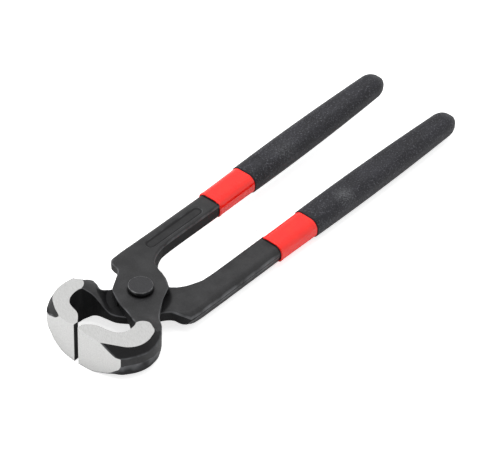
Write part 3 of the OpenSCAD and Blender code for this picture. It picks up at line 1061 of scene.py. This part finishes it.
    def panel(self, x: np.ndarray, y: np.ndarray) -> tuple[np.ndarray, np.ndarray]:
        """Depth of the sunk panel, and the distance from its rim.

        The depth is full inside a rounded slot and fades over its rim as
        1 - f * f * (3 - 2 f), with f the share of the rim that is crossed.

        Args:
            x: Places along the tool.
            y: Places across it.

        Returns:
            Depths, and distances that are below zero inside the slot.
        """
        r = self.panel_w / 2
        along = np.clip(x, self.panel_x + r, self.panel_x + self.panel_l - r)
        rim = np.hypot(x - along, y - self.panel_y) - r
        fade = np.clip((rim + self.panel_rim) / (2 * self.panel_rim), 0.0, 1.0)
        return self.panel_d * (1.0 - fade * fade * (3.0 - 2.0 * fade)), rim

    def heights(
        self, number: np.ndarray, x: np.ndarray, y: np.ndarray, d_out: np.ndarray, d_in: np.ndarray
    ) -> tuple[np.ndarray, np.ndarray, np.ndarray, np.ndarray]:
        """Top and underside of the lever, with where it was ground and where it is dark.

        Args:
            number: Station numbers.
            x: Places along the tool.
            y: Places across it, handle side positive.
            d_out: Distances from the outer or crotch side.
            d_in: Distances from the mouth or back side.

        Returns:
            Top, underside, the height by which the facet lies under every
            other surface, which is above zero where it was ground, and how
            dark the top is painted, from 0 to 1: its darker forging skin, and painted shade.
        """
        q = -y
        r = np.hypot(x, y)
        upper = self.side is Side.UPPER
        jaw = number < self.plate_row
        facet = self.facet(x, q)
        bevel, low_side = self.bevel(x, q, lookup(self.lift, number))
        neck, slope = self.neck(x, q)
        flank = self.upper_flank if upper else self.lower_flank
        low_flank = self.upper_low_flank if upper else self.lower_low_flank
        slope = soft_min(slope, lookup(flank, number) + d_out, self.flank_fillet)
        low_side = soft_min(low_side, lookup(low_flank, number) + d_out, self.flank_fillet)
        # the crotch is thick further forward than the back
        early = number + self.crotch_rows * np.exp(-np.square(d_out / self.crotch_wide))
        step = self.step_slope * np.maximum(r - self.step_r, 0.0)
        head = soft_min(facet, bevel, self.crest_fillet)
        thin_row, thick_row = self.thick_rows
        if upper:
            level = self.lap_upper + self.plate_t
            over = np.where(jaw, soft_max(slope, level + 0 * x, self.plate_fillet), level)
            sunk, rim = self.panel(x, y)
            top = soft_min(head, over, self.neck_fillet) - sunk
            # painted shadow round the rivet head
            shadow_r, fade = self.head_shadow
            dark = np.clip((shadow_r - r) / fade, 0.0, 1.0)
            # the panel's floor darker, and painted shade against its rim
            strength, middle, wide = self.panel_rim_shade
            corner = strength * np.exp(-np.square((rim + middle) / wide))
            dark = np.maximum(dark, self.panel_floor_dark * sunk / self.panel_d + corner)
            foot = self.lap_upper + self.plate_t - self.shank_t
            thick = lookup(((thin_row, self.lap_upper), (thick_row, foot)), early)
            low = np.where(jaw, -neck, thick)
            lap = soft_max(low, self.lap_upper - step, self.lap_fillet)
            jaw_under = np.maximum(soft_max(-low_side, lap, self.lap_fillet), -self.tip_z)
            # a level shelf at the outer edge, under which the other half's back corner passes
            start, full = self.shelf_rows
            shelf = lookup(((start, self.shelf_low), (full, self.lap_upper)), number)
            shelf = shelf - self.shelf_slope * np.maximum(d_out - self.shelf_wide, 0.0)
            under = np.where(jaw, np.maximum(jaw_under, shelf), lap)
        else:
            level = self.lap_lower
            raised = soft_max(slope, level + 0 * x, self.flank_fillet)
            over = np.where(jaw, soft_min(raised, level + step, self.neck_fillet), level)
            top = np.where(jaw, soft_min(head, over, self.root_fillet), level)
            # the scoop beside the neck is painted dark as its shade
            scoop = np.clip(self.scoop_sharp * (raised - level - step), 0.0, 1.0)
            dark = np.where(jaw, scoop, 0.0) * np.clip(self.scoop_sharp * step, 0.0, 1.0)
            # painted shadow along the edge of the other half's plate, widest beside the mouth
            mouth_r, crotch_r, fade, strength = self.plate_shadow
            beside = np.clip((np.where(x < 0.0, mouth_r, crotch_r) - r) / fade, 0.0, 1.0)
            dark = np.maximum(dark, strength * beside)
            foot, deep = self.plate_t - self.lap_lower, self.shank_t - self.lap_lower
            thick = lookup(((thin_row, foot), (thick_row, deep)), early)
            hang = lookup(self.hang, number) * np.exp(-np.square(d_in / self.hang_wide))
            belly = np.where(jaw, soft_max(neck, foot + 0 * x, self.belly_fillet), thick) + hang
            jaw_depth = np.minimum(soft_min(low_side, belly, self.neck_fillet), self.tip_z)
            under = -np.where(jaw, jaw_depth, belly)
        ground_top = np.where(jaw, soft_min(bevel, over, self.ground_fillet) - facet, -1.0)
        # the bevel keeps its darker scale, deepened here as painted shade
        darkening = np.clip(0.5 + self.bevel_sharp * (np.minimum(facet, over) - bevel), 0.0, 1.0)
        # painted shadow on the shank under the red sleeve's lip
        lip_x, fade = self.lip_shadow
        lip = np.clip((x - lip_x) / fade, 0.0, 1.0)
        rough = np.maximum(np.where(jaw, self.bevel_dark * darkening, 0.0), np.maximum(dark, lip))
        return top, under, ground_top, rough

    def rings(self) -> tuple[np.ndarray, dict[str, np.ndarray]]:
        """Works out the ring of points at each station and its paint.

        A ring runs over the top from the outer to the mouth side, down that
        wall, back along the underside and up the outer wall.

        Returns:
            Rings of points, and the ground, wear and rough values per quad corner.
        """
        number, outer, mouth = self.stations()
        upper = self.side is Side.UPPER
        top_t, under_t = eased(self.top_cells), eased(self.under_cells)
        wall_u = eased(self.wall_cells)[1:-1]

        def across(t: np.ndarray) -> tuple[np.ndarray, np.ndarray, np.ndarray, np.ndarray]:
            """Places on the station lines.

            Args:
                t: Shares of the way from the outer to the mouth side.

            Returns:
                Both coordinates, and the distances to the outer and the mouth side.
            """
            place = outer[:, None] + t[None, :, None] * (mouth - outer)[:, None]
            width = np.linalg.norm(mouth - outer, axis=1)[:, None]
            return place[..., 0], place[..., 1], t[None] * width, (1.0 - t[None]) * width

        def wall(start: np.ndarray, end: np.ndarray) -> np.ndarray:
            """Points up or down a wall between its two edges."""
            return start[:, None] + wall_u[None, :, None] * (end - start)[:, None]

        n = number[:, None]
        shank_r = self.upper_shank_r if upper else self.lower_shank_r
        outer_r = lookup(self.outer_round + ((self.shank_row, shank_r),), n)
        back_r = lookup(self.back_round, n)
        x, y, d_out, d_in = across(top_t)
        top, _, ground_top, rough_top = self.heights(n, x, y, d_out, d_in)
        half = np.maximum(d_out + d_in, TINY) * self.most_round
        top = top - round_drop(d_out, np.minimum(outer_r, half)) - round_drop(d_in, np.minimum(back_r, half))
        top_ring = np.stack([x, y, top], axis=-1)
        near_top = np.exp(-np.square(np.minimum(d_out, d_in) / self.wear_wide))
        if upper:
            middle, wide, strength = self.rim_wear
            rim = np.exp(-np.square((self.panel(x, y)[1] - middle) / wide))
            near_top = np.maximum(near_top, strength * rim)
        x, y, d_out, d_in = across(under_t)
        _, under, _, _ = self.heights(n, x, y, d_out, d_in)
        half = np.maximum(d_out + d_in, TINY) * self.most_round
        under_r = np.minimum(self.under_r, half)
        under = under + round_drop(d_out, under_r) + round_drop(d_in, under_r)
        out_cut = lookup(self.out_h, n) * np.clip(1.0 - d_out / lookup(self.out_w, n), 0.0, 1.0)
        in_cut = lookup(self.in_h, n) * np.clip(1.0 - d_in / lookup(self.in_w, n), 0.0, 1.0)
        lowest_top = np.minimum(top_ring[:, :1, 2], top_ring[:, -1:, 2])
        under = np.minimum(under + out_cut + in_cut, lowest_top - self.least_wall)
        # the crotch's wall spreads downward
        away = (outer - mouth) / np.maximum(np.linalg.norm(outer - mouth, axis=1)[:, None], TINY)
        spread = (1.0 if upper else self.lower_spread) * lookup(self.spread, n) * (1.0 - under_t[None])
        under_ring = np.stack([x + away[:, :1] * spread, y + away[:, 1:] * spread, under], axis=-1)
        near_under = np.exp(-np.square(np.minimum(d_out, d_in) / self.wear_wide))
        down = wall(top_ring[:, -1], under_ring[:, -1])
        up = wall(under_ring[:, 0], top_ring[:, 0])
        ring = np.concatenate([top_ring, down, under_ring[:, ::-1], up], axis=1)
        front = np.clip(self.front_sharp * (self.front_row - number), -1.0, 1.0)
        flat = np.ones((len(number), len(wall_u) + 2))
        low = np.ones_like(under)
        # over the top, down the mouth's wall, along the underside and up the outer wall
        parts = {
            "ground": (ground_top, -flat, -low, front[:, None] * flat),
            "wear": (near_top, 0.0 * flat, near_under[:, ::-1], 0.0 * flat),
            # darker scale and painted shade over the top, the mouth's wall, the underside's edge and the
            # outer wall
            "rough": (
                rough_top, self.mouth_dark * flat,
                lookup(self.low_dark, n) * low, lookup(self.outer_dark, n) * flat,
            ),
        }
        paint = {
            key: np.concatenate([self.corners(np.clip(v, -1.0, 1.0)) for v in values], axis=1).reshape(-1, 4)
            for key, values in parts.items()
        }
        if not upper:
            ring = ring * np.array([1.0, -1.0, 1.0])
        return ring, paint

    @staticmethod
    def corners(values: np.ndarray) -> np.ndarray:
        """Values of a grid of points as four values for each cell's corners."""
        a, b, c, d = values[:-1, :-1], values[1:, :-1], values[1:, 1:], values[:-1, 1:]
        return np.stack([a, b, c, d], axis=-1)

    def build(self, finish: bpy.types.Material) -> bpy.types.Object:
        """Makes the lever's piece and ties it to the frame.

        Args:
            finish: Its material.

        Returns:
            The piece.
        """
        rings, paint = self.rings()
        piece = build_mesh(f"{self.side.prefix}_lever_forging", rings, paint)
        settle(piece, self.side, f"{self.side.prefix}_lever", finish)
        return piece


@dataclass
class Rivet:
    """The rivet: a flat upper head with a rolled rim, a shank and a lower head."""

    head_r: float = 5.85
    head_top: float = 7.90
    head_foot: float = 4.95
    # the head's middle lies a little under its rolled rim, and its side leans in to a rounded foot
    sink: float = 0.05
    flat_rings: tuple[float, ...] = (0.02, 1.0, 2.0, 3.0, 4.0, 4.9, 5.2)
    rim: float = 0.35
    rim_points: int = 7
    side_in: float = 0.02
    foot_in: float = 0.25
    foot_up: float = 0.5
    shank_r: float = 3.5
    shank_half: float = 2.0
    # the lower head: radius, upper and lower face, its upper edge's bevel in and down, steps in and
    # up of its rounded lower edge, and rings of its flat
    foot_r: float = 5.5
    foot_top: float = -4.45
    foot_low: float = -6.65
    foot_bevel: tuple[float, float] = (0.2, 0.3)
    foot_edge: tuple[tuple[float, float], ...] = ((0.05, 0.7), (0.3, 0.25), (0.9, 0.06))
    foot_rings: tuple[float, ...] = (3.0, 1.0, 0.02)
    # the rubbed line: how far inside the rim, how wide, and how far under the top it ends
    wear_in: float = 0.12
    wear_wide: float = 0.22
    wear_deep: float = 0.5
    # the side is painted black as shade from just under the rim
    dark_deep: float = 0.36
    sharp_deg: float = 50.0
    segments: int = 128

    def profile(self) -> np.ndarray:
        """Outline of the rivet, whose rolled rim is a quarter circle.

        Returns:
            Radius and height of each point, from the top's middle to the bottom's.
        """
        a = np.radians(np.linspace(0.0, 90.0, self.rim_points))
        flat = np.array(self.flat_rings)
        top = np.stack([flat, np.full_like(flat, self.head_top - self.sink)], axis=-1)
        rolled = np.stack([
            self.head_r - self.rim * (1.0 - np.sin(a)), self.head_top - self.rim * (1.0 - np.cos(a)),
        ], axis=-1)
        bevel_in, bevel_down = self.foot_bevel
        middle = np.array([
            (self.head_r - self.side_in, self.head_foot + self.foot_up),
            (self.head_r - self.foot_in, self.head_foot),
            (self.shank_r, self.head_foot),
            (self.shank_r, self.shank_half),
            (self.shank_r, -self.shank_half),
            (self.shank_r, self.foot_top),
            (self.foot_r - bevel_in, self.foot_top),
            (self.foot_r, self.foot_top - bevel_down),
        ])
        edge = np.array([(self.foot_r - step_in, self.foot_low + up) for step_in, up in self.foot_edge])
        bottom = np.array([(r, self.foot_low) for r in self.foot_rings])
        return np.vstack([top, rolled, middle, edge, bottom])

    def build(self, finish: bpy.types.Material) -> bpy.types.Object:
        """Turns the rivet's outline round its axis.

        Ring k has the points (r cos a, r sin a, z) for equal angles a, with
        the radius r and height z of the outline's point k.

        Args:
            finish: Its material.

        Returns:
            The piece.
        """
        profile = self.profile()
        turn = 2 * np.pi * np.arange(self.segments) / self.segments
        radius = profile[:, :1] * np.ones_like(turn)
        height = profile[:, 1:] * np.ones_like(turn)
        rings = np.stack([radius * np.cos(turn), radius * np.sin(turn), height], axis=-1)
        near = np.exp(-np.square((radius - self.head_r + self.wear_in) / self.wear_wide))
        near = near * (height > self.head_top - self.wear_deep)
        # the side, painted black as its shade
        below = 1.0 * (height < self.head_top - self.dark_deep)
        paint = {
            key: Lever.corners(np.concatenate([v, v[:, :1]], axis=1)).reshape(-1, 4)
            for key, v in (("wear", near), ("rough", below))
        }
        piece = build_mesh("pivot_rivet_body", rings, paint, self.sharp_deg)
        settle(piece, Side.LOWER, "pivot_rivet", finish)
        return piece


# Dips


@dataclass
class Dips:
    """The red sleeve and the black grip of one handle.

    Both are rounded boxes in section whose half width follows one table along
    the handle. A ring has corners of radius r = corner_share * b and points
    (a - r + r cos t, b - r + r sin t), with a and b the half width and height.
    """

    side: Side
    # end of the handle, and height of its middle at the sleeve's mouth
    finish_x: float
    middle_z: float
    handle_y: float = 19.5
    splay_deg: float = 0.73
    # how far the handle rises from the sleeve's mouth to its end
    rise: float = 0.8
    sleeve_x: float = 69.0
    grip_x: float = 94.1
    grip_w: float = 15.7
    # thickness over width, first and at the end, and the share of the length where it starts to change
    flat_share: float = 0.75
    end_flat_share: float = 0.9
    late_share: float = 0.75
    corner_share: float = 0.85
    # length of the domed end in half widths, and the angles over which its rings are set
    end_share: float = 1.4
    dome_deg: tuple[float, float] = (4.0, 88.0)
    # the coats: thickness of the black, how far the bare red lies under it, the fit between them
    black_t: float = 0.8
    red_under: float = 0.4
    gap: float = 0.05
    # the shank in the sleeve's mouth, the play round it and the mouth's corner radius and depth
    shank_w: float = 12.6
    shank_t: float = 8.3
    mouth_play: float = 0.42
    mouth_r: float = 2.4
    mouth_x: tuple[float, ...] = (1.6, 1.2, 0.3)
    # radius of each coat's rolled lip, and where its straight part starts beyond the lip
    red_roll: float = 0.55
    black_roll: float = 0.5
    after_lip: float = 0.4
    # rings of the red under the black, how far its bare part runs on, and rings inside the black's lip
    covered_x: tuple[float, ...] = (1.2, 4.0, 8.0)
    red_past: float = 0.6
    tucked_x: tuple[float, ...] = (1.0, 0.3)
    tuck: float = 0.02
    # the grip's smooth first bead, painted darker as shade: where it ends beyond grip_x, and over what
    # length
    bead_x: float = 0.75
    bead_fade: float = 0.4
    # half width over the largest one, by share of the length
    widths: Table = (
        (0.0, 0.952), (0.09, 0.961), (0.19, 0.977), (0.29, 0.992), (0.42, 1.0),
        (0.55, 0.985), (0.69, 0.952), (0.82, 0.895), (0.92, 0.83), (1.0, 0.78),
    )
    sharp_deg: float = 60.0
    # points in a quarter of a ring, and rings of each lip, straight part and dome
    points: int = 24
    red_lip_rings: int = 9
    red_rings: int = 40
    black_lip_rings: int = 8
    black_rings: int = 150
    dome_rings: int = 26

    def half_width(self, x: np.ndarray) -> np.ndarray:
        """Half width of the grip, on a smooth curve through the table.

        Args:
            x: Places along the handle.

        Returns:
            One half width per place.
        """
        table = np.array(self.widths)
        share = np.clip((x - self.sleeve_x) / (self.finish_x - self.sleeve_x), 0.0, 1.0)
        return self.grip_w / 2 * through(table[:, 1:], table[:, 0], share, set())[:, 0]

    def flat_at(self, x: np.ndarray) -> np.ndarray:
        """Thickness over width: level up to late_share, then rising.

        The rise is s * s * (3 - 2 s), with s the share of the rest of the way.

        Args:
            x: Places along the handle.

        Returns:
            One ratio per place.
        """
        share = (x - self.sleeve_x) / (self.finish_x - self.sleeve_x)
        late = np.clip((share - self.late_share) / (1.0 - self.late_share), 0.0, 1.0)
        return self.flat_share + (self.end_flat_share - self.flat_share) * late * late * (3.0 - 2.0 * late)

    def section(self, a: np.ndarray, b: np.ndarray, r: np.ndarray, x: np.ndarray) -> np.ndarray:
        """Rings of rounded boxes.

        Args:
            a: Half widths.
            b: Half heights.
            r: Corner radii.
            x: Places along the handle.

        Returns:
            One ring of points per place.
        """
        turn = np.radians(90.0 * np.arange(self.points) / (self.points - 1))
        t = (np.radians(90.0 * np.arange(4))[:, None] + turn[None]).ravel()
        side_y = np.repeat(np.array([1.0, -1.0, -1.0, 1.0]), self.points)
        side_z = np.repeat(np.array([1.0, 1.0, -1.0, -1.0]), self.points)
        y = side_y * (a - r)[:, None] + r[:, None] * np.cos(t)
        z = side_z * (b - r)[:, None] + r[:, None] * np.sin(t)
        return np.stack([np.broadcast_to(x[:, None], y.shape), y, z], axis=-1)

    def on_handle(self, rings: np.ndarray) -> np.ndarray:
        """Sets rings on the handle, turned by the splay about the sleeve's mouth.

        Args:
            rings: Rings of points round the handle's own middle line.

        Returns:
            The rings in place, rising toward the handle's end.
        """
        c, s = math.cos(math.radians(self.splay_deg)), math.sin(math.radians(self.splay_deg))
        dx, y = rings[..., 0] - self.sleeve_x, rings[..., 1]
        x, y = self.sleeve_x + c * dx - s * y, self.handle_y + s * dx + c * y
        rise = self.rise * np.clip(dx / (self.finish_x - self.sleeve_x), 0.0, 1.0)
        placed = np.stack([x, y, rings[..., 2] + self.middle_z + rise], axis=-1)
        return placed * np.array([1.0, float(self.side.value), 1.0])

    def sleeve(self, finish: bpy.types.Material) -> bpy.types.Object:
        """Makes the red sleeve with its rolled mouth round the shank.

        The rings start inside the mouth, roll over the lip on a quarter circle
        and run on under the black grip.

        Args:
            finish: Its material.

        Returns:
            The piece.
        """
        lip, roll = self.red_under, self.red_roll
        mouth = self.half_width(np.array([self.sleeve_x]))[0]
        t = np.radians(np.linspace(0.0, 90.0, self.red_lip_rings))
        lip_x = self.sleeve_x + self.gap + roll * (1.0 - np.sin(t))
        lip_in = roll * (1.0 - np.cos(t))
        front_x = self.sleeve_x + np.array(self.mouth_x)
        front = np.ones_like(front_x)
        straight = self.sleeve_x + self.gap + roll + self.after_lip
        long_x = np.linspace(straight, self.grip_x + self.red_past, self.red_rings)
        cover_x = self.grip_x + np.array(self.covered_x)
        wide, under = self.half_width(long_x), self.half_width(cover_x)
        coat = self.black_t + self.gap
        x = np.concatenate([front_x, lip_x[::-1], long_x, cover_x])
        a = np.concatenate([
            front * (self.shank_w / 2 + self.mouth_play), (mouth - lip - lip_in)[::-1],
            wide - lip, under - coat,
        ])
        b = np.concatenate([
            front * (self.shank_t / 2 + self.mouth_play), (mouth * self.flat_share - lip - lip_in)[::-1],
            wide * self.flat_share - lip, under * self.flat_share - coat,
        ])
        r = self.corner_share * b
        r[: len(front)] = self.mouth_r
        rings = self.on_handle(self.section(a, b, r, x))
        piece = build_mesh(f"{self.side.prefix}_red_dip", rings, None, self.sharp_deg)
        settle(piece, self.side, f"{self.side.prefix}_red_sleeve", finish)
        return piece

    def grip(self, finish: bpy.types.Material) -> bpy.types.Object:
        """Makes the black grip with its rolled front edge and domed end.

        The dome's rings stand at stop + end * sin t and shrink with cos t.

        Args:
            finish: Its material.

        Returns:
            The piece.
        """
        roll = self.black_roll
        t = np.radians(np.linspace(0.0, 90.0, self.black_lip_rings))
        lip_x = self.grip_x + roll * (1.0 - np.sin(t))
        lip_in = roll * (1.0 - np.cos(t))
        end = self.end_share * self.half_width(np.array([self.finish_x]))[0]
        stop = self.finish_x - end
        a_end = self.half_width(np.array([stop]))[0]
        b_end = a_end * self.flat_at(np.array([stop]))[0]
        body_x = np.linspace(self.grip_x + roll + self.after_lip, stop, self.black_rings)
        t_end = np.radians(np.linspace(*self.dome_deg, self.dome_rings))
        tucked_x = self.grip_x + np.array(self.tucked_x)
        tucked = np.ones_like(tucked_x)
        x = np.concatenate([tucked_x, lip_x[::-1], body_x, stop + end * np.sin(t_end)])
        lip_a = self.half_width(lip_x) - lip_in
        lip_b = self.half_width(lip_x) * self.flat_share - lip_in
        body_a = self.half_width(body_x)
        body_b = body_a * self.flat_at(body_x)
        a = np.concatenate([tucked * (lip_a[-1] - self.tuck), lip_a[::-1], body_a, a_end * np.cos(t_end)])
        b = np.concatenate([tucked * (lip_b[-1] - self.tuck), lip_b[::-1], body_b, b_end * np.cos(t_end)])
        rings = self.on_handle(self.section(a, b, self.corner_share * b, x))
        # the first bead is painted darker as shade
        bead_shade = np.clip((self.grip_x + self.bead_x - x) / self.bead_fade, 0.0, 1.0)
        bead_shade = bead_shade[:, None] * np.ones((1, rings.shape[1] + 1))
        paint = {"bead_shade": Lever.corners(bead_shade).reshape(-1, 4)}
        piece = build_mesh(f"{self.side.prefix}_black_dip", rings, paint, self.sharp_deg)
        settle(piece, self.side, f"{self.side.prefix}_black_grip", finish)
        return piece


# Studio


@dataclass
class Studio:
    """A pale floor, soft lights, a white surround and the photograph's camera."""

    camera_at: tuple[float, float, float] = (-0.724316, -0.598207, 0.819077)
    right: tuple[float, float, float] = (0.65770337, -0.75275464, 0.02804857)
    down: tuple[float, float, float] = (-0.48002459, -0.44752555, -0.75451791)
    forward: tuple[float, float, float] = (0.58051931, 0.48278497, -0.65567980)
    lens_mm: float = 187.2
    sensor_mm: float = 36.0
    far: float = 20.0
    # the floor: radii of its rings in metres, radius of its flat part, rise beyond, and how far it
    # lies under the tool
    floor_rings: tuple[float, ...] = (0.001, 0.5, 1.0, 1.5, 2.0, 2.5, 3.0)
    floor_cells: int = 48
    floor_flat: float = 1.0
    floor_rise: float = 0.04
    floor_drop: float = 0.0001
    floor_colour: str = "#ececec"
    # light that the floor gives off, as the camera sees it and as a reflection sees it
    floor_seen: float = 0.72
    floor_mirrored: float = 0.05
    # strength of the surround as a lamp; seen or mirrored it is white
    ambient: float = 0.6
    # soft boxes: name, place and side in metres, power in watts
    lamps: tuple[tuple[str, tuple[float, float, float], float, float], ...] = (
        ("soft_key", (-0.25, 0.95, 1.25), 1.1, 13.5),
        ("soft_top", (0.15, 0.1, 1.5), 1.4, 8.5),
    )

    def camera(self) -> None:
        """Places the camera by its own right, down and forward directions."""
        data = bpy.data.cameras.new("photo_camera")
        data.lens = self.lens_mm
        data.sensor_width = self.sensor_mm
        data.clip_end = self.far
        camera = bpy.data.objects.new("photo_camera", data)
        x, y, z = Vector(self.right), -Vector(self.down), -Vector(self.forward)
        turn = Matrix((x, y, z)).transposed().to_4x4()
        camera.matrix_world = Matrix.Translation(self.camera_at) @ turn
        bpy.context.scene.collection.objects.link(camera)
        bpy.context.scene.camera = camera

    def floor(self) -> None:
        """Lays the floor, a wide shallow dish that is flat under the tool.

        Heights are zero within the flat part and rise with the square of the
        distance beyond it.
        """
        n = self.floor_cells
        a = 2 * np.pi * np.arange(n) / n
        radius = np.array(self.floor_rings)
        rise = self.floor_rise * np.square(np.maximum(radius - self.floor_flat, 0.0))
        height = (rise[:, None] - self.floor_drop) * np.ones(n)
        points = np.stack([radius[:, None] * np.cos(a), radius[:, None] * np.sin(a), height], axis=-1)
        mesh = bpy.data.meshes.new("studio_floor")
        mesh.from_pydata(points.reshape(-1, 3).tolist(), [], grid_faces(len(radius), n).tolist())
        mesh.polygons.foreach_set("use_smooth", np.ones(len(mesh.polygons), bool))
        floor = bpy.data.objects.new("studio_floor", mesh)
        bpy.context.scene.collection.objects.link(floor)
        material = bpy.data.materials.new("matt_white_board")
        material.use_nodes = True
        tree = material.node_tree
        tree.nodes.clear()
        paint = add_node(tree, "ShaderNodeBsdfDiffuse", Color=to_linear(self.floor_colour)).outputs["BSDF"]
        path = add_node(tree, "ShaderNodeLightPath").outputs
        mirrored = add_node(
            tree, "ShaderNodeMath", {"operation": "ADD", "use_clamp": True},
            i0=path["Is Glossy Ray"], i1=path["Is Transmission Ray"],
        ).outputs[0]
        dim = add_node(
            tree, "ShaderNodeMath", {"operation": "MULTIPLY"}, i0=mirrored, i1=self.floor_mirrored,
        ).outputs[0]
        lift = add_node(
            tree, "ShaderNodeMath", {"operation": "MULTIPLY_ADD"},
            i0=path["Is Camera Ray"], i1=self.floor_seen, i2=dim,
        ).outputs[0]
        glow = add_node(tree, "ShaderNodeEmission", Strength=lift).outputs["Emission"]
        both = add_node(tree, "ShaderNodeAddShader", i0=paint, i1=glow).outputs[0]
        add_node(tree, "ShaderNodeOutputMaterial", Surface=both)
        floor.data.materials.append(material)

    def world(self) -> None:
        """Surrounds the stage with white as seen, and with dim light as a lamp."""
        world = bpy.data.worlds.new("studio_surround")
        world.use_nodes = True
        tree = world.node_tree
        tree.nodes.clear()
        path = add_node(tree, "ShaderNodeLightPath").outputs
        seen = add_node(
            tree, "ShaderNodeMath", {"operation": "ADD", "use_clamp": True},
            i0=path["Is Camera Ray"], i1=path["Is Glossy Ray"],
        ).outputs[0]
        any_seen = add_node(
            tree, "ShaderNodeMath", {"operation": "ADD", "use_clamp": True},
            i0=seen, i1=path["Is Transmission Ray"],
        ).outputs[0]
        level = add_node(
            tree, "ShaderNodeMapRange", Value=any_seen, To_Min=self.ambient, To_Max=1.0,
        ).outputs["Result"]
        surround = add_node(
            tree, "ShaderNodeBackground", Color=(1.0, 1.0, 1.0, 1.0), Strength=level,
        ).outputs["Background"]
        add_node(tree, "ShaderNodeOutputWorld", Surface=surround)
        bpy.context.scene.world = world

    def lamp(self, name: str, place: tuple[float, float, float], size: float, watts: float) -> None:
        """Hangs a square soft box that faces the tool.

        Args:
            name: Name of the lamp.
            place: Where it hangs.
            size: Side length in metres.
            watts: Its power.
        """
        data = bpy.data.lights.new(name, "AREA")
        data.shape = "SQUARE"
        data.size = size
        data.energy = watts
        lamp = bpy.data.objects.new(name, data)
        aim = Vector(place).to_track_quat("Z", "Y").to_matrix().to_4x4()
        lamp.matrix_world = Matrix.Translation(place) @ aim
        bpy.context.scene.collection.objects.link(lamp)
        lamp.visible_glossy = False

    def build(self) -> None:
        """Sets the whole stage and the plain view transform."""
        self.camera()
        self.floor()
        self.world()
        for name, place, size, watts in self.lamps:
            self.lamp(name, place, size, watts)
        bpy.context.scene.view_settings.view_transform = "Standard"


def main() -> None:
    """Builds every piece and sets the stage."""
    logging.basicConfig(level=logging.INFO, format="%(name)s: %(message)s")
    Studio().build()
    steel = ForgedSteel().make()
    red, black = DippedVinyl().make(), FoamedVinyl().make()
    for side in Side:
        Lever(side).build(steel)
        finish_x, middle_z = HANDLES[side]
        dips = Dips(side, finish_x, middle_z)
        dips.sleeve(red)
        dips.grip(black)
    Rivet().build(RivetSteel().make())


if __name__ == "__main__":
    main()
